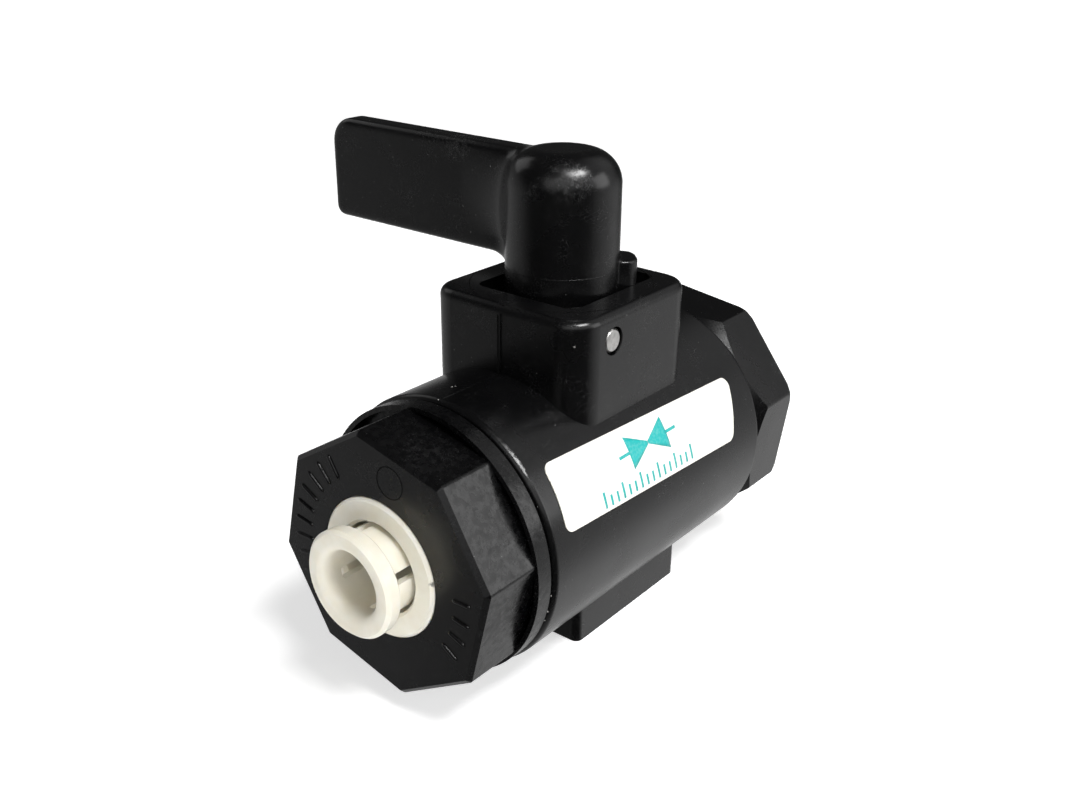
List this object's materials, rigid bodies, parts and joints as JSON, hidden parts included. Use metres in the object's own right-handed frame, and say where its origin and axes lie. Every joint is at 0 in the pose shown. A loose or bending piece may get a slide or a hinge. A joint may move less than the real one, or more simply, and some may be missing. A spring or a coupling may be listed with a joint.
{
  "type": "push-in ball valve",
  "caption": "Small black plastic quarter-turn ball valve with push-in tube ports, a flat lever and octagonal ends.",
  "frame": {"origin": "on the underside of the foot, where the lever's turning axis meets it", "axes": "+Z along the lever's turning axis, away from the foot; +X along the flow, from the screwed cap to the rear octagon; the shut lever points to +Y"},
  "size_m": [0.0629, 0.0465, 0.0511],
  "materials": {
    "body_plastic": "satin, fine scratches",
    "lever_plastic": "satin",
    "white_plastic": "smooth, warm white",
    "label_film": "coated",
    "steel": "bright",
    "seal_rubber": "dull",
    "seat_plastic": "smooth",
    "ball_plastic": "polished"
  },
  "bodies": {
    "housing": {"valve_body": "body_plastic", "end_cap": "body_plastic", "stem_pin": "steel", "seat_front": "seat_plastic", "seat_rear": "seat_plastic", "seat_seal_front": "seal_rubber", "seat_seal_rear": "seal_rubber", "cap_seal": "seal_rubber", "cartridge_front": "white_plastic", "cartridge_rear": "white_plastic", "tube_seal_front": "seal_rubber", "tube_seal_rear": "seal_rubber", "label": "label_film"},
    "lever": {"handle_stem": "lever_plastic", "ball": "ball_plastic", "stem_seal_upper": "seal_rubber", "stem_seal_lower": "seal_rubber"},
    "collet_front_body": {"collet_front": "white_plastic", "grip_teeth_front": "steel"},
    "collet_rear_body": {"collet_rear": "white_plastic", "grip_teeth_rear": "steel"}
  },
  "joints": [
    {"name": "lever_turn", "type": "hinge", "parent": "housing", "child": "lever", "pos_m": [0, 0, 0.016], "axis": [0, 0, 1], "range_deg": [0, 90]},
    {"name": "collet_front_slide", "type": "slide", "parent": "housing", "child": "collet_front_body", "axis": [1, 0, 0], "range_m": [0, 0.0019]},
    {"name": "collet_rear_slide", "type": "slide", "parent": "housing", "child": "collet_rear_body", "axis": [-1, 0, 0], "range_m": [0, 0.0019]}
  ]
}
